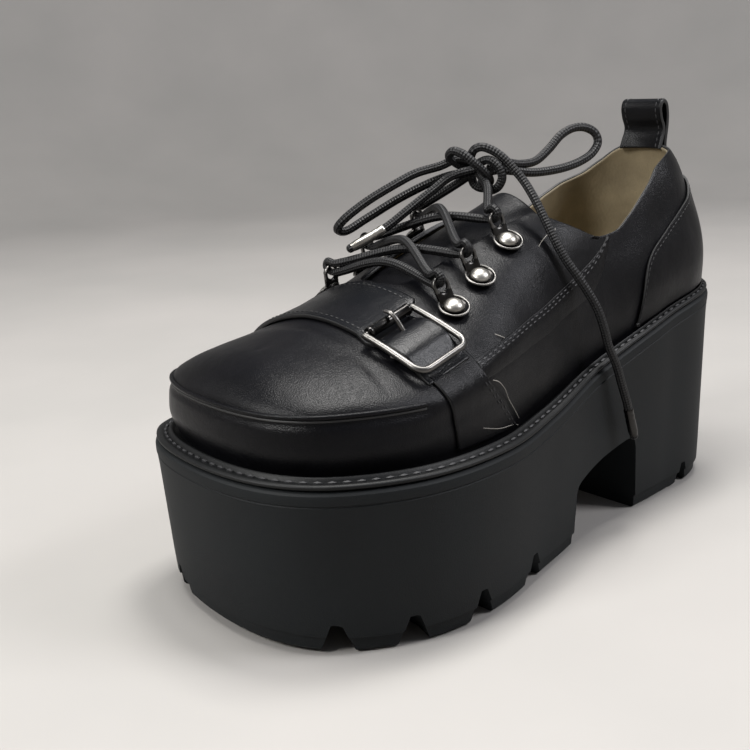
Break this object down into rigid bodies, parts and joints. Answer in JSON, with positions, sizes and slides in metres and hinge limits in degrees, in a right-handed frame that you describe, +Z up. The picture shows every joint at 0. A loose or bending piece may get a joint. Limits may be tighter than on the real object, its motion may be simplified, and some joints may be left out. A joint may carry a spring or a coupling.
{
  "type": "platform lace-up shoe",
  "caption": "Black platform shoe for the left foot with lugged block sole, lace rings, tied round lace, buckled instep strap and a heel pull loop.",
  "frame": {"origin": "middle of the heel's flat on the floor", "axes": "-Y towards the toe, +X the outer (left) side of the left foot, +Z up"},
  "size_m": [0.1216, 0.266, 0.1695],
  "materials": {
    "sole": "matt moulded rubber",
    "welt": "satin moulded rubber welt",
    "lining": "matt beige lining",
    "upper_leather": "semi-gloss fine-grained black",
    "buckle": "dark nickel",
    "lace_ring": "satin nickel",
    "lace": "round braided cord"
  },
  "bodies": {
    "root": {"platform_sole": "sole", "welt": "welt", "insole": "lining", "upper": "upper_leather", "plug_seam": "upper_leather", "facing_lateral": "upper_leather", "facing_medial": "upper_leather", "heel_counter": "upper_leather", "tongue": "upper_leather", "strap": "upper_leather", "buckle_frame": "buckle", "buckle_roller": "buckle", "buckle_prong": "buckle", "pull_loop": "upper_leather", "lace_crossings": "lace", "lace_knot": "lace", "lace_loop_back": "lace", "lace_loop_front": "lace", "lace_end_side": "lace", "lace_end_front": "lace", "lace_ring_lateral_1": "lace_ring", "lace_ring_lateral_2": "lace_ring", "lace_ring_lateral_3": "lace_ring", "lace_ring_medial_1": "lace_ring", "lace_ring_medial_2": "lace_ring", "lace_ring_medial_3": "lace_ring"}
  },
  "joints": []
}
